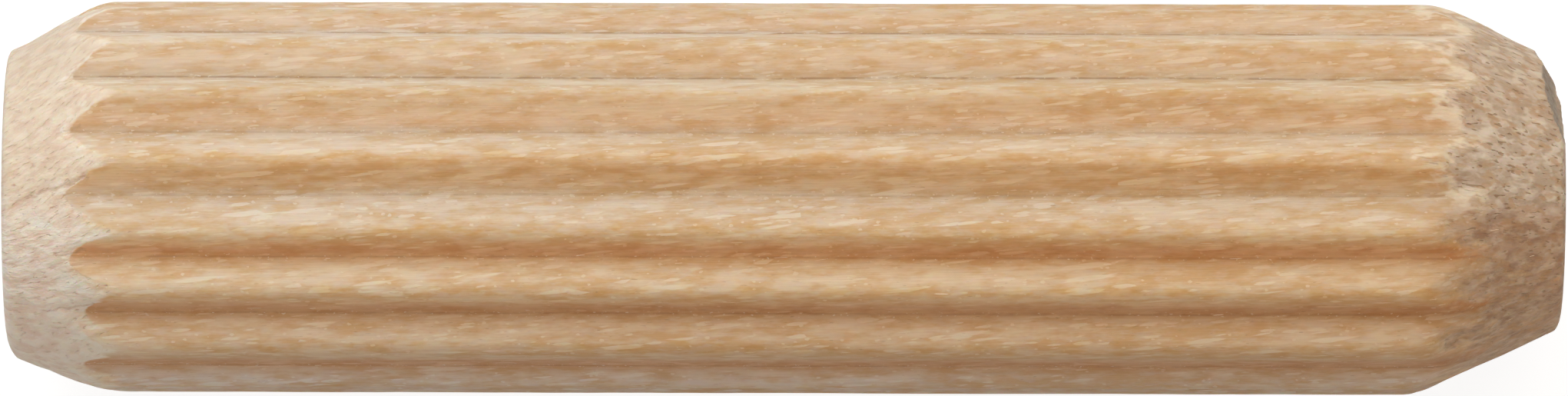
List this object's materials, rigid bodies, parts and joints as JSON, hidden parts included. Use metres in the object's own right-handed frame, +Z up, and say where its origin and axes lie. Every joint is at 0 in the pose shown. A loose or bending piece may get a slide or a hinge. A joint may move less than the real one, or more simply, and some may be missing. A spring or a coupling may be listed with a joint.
{
  "type": "fluted dowel pin",
  "caption": "Fluted wooden dowel pin with straight pressed grooves and a chamfer on each end, for gluing wood joints.",
  "frame": {"origin": "middle of the pin, on its axis", "axes": "+X along the pin towards the rough chipped end; +Z up, away from the two crests it rests on; +Y across"},
  "size_m": [0.04, 0.01, 0.01],
  "materials": {
    "beech": "raw turned beech, pale and matte, with fine grain along the pin"
  },
  "bodies": {
    "root": {"dowel_pin": "beech"}
  },
  "joints": []
}
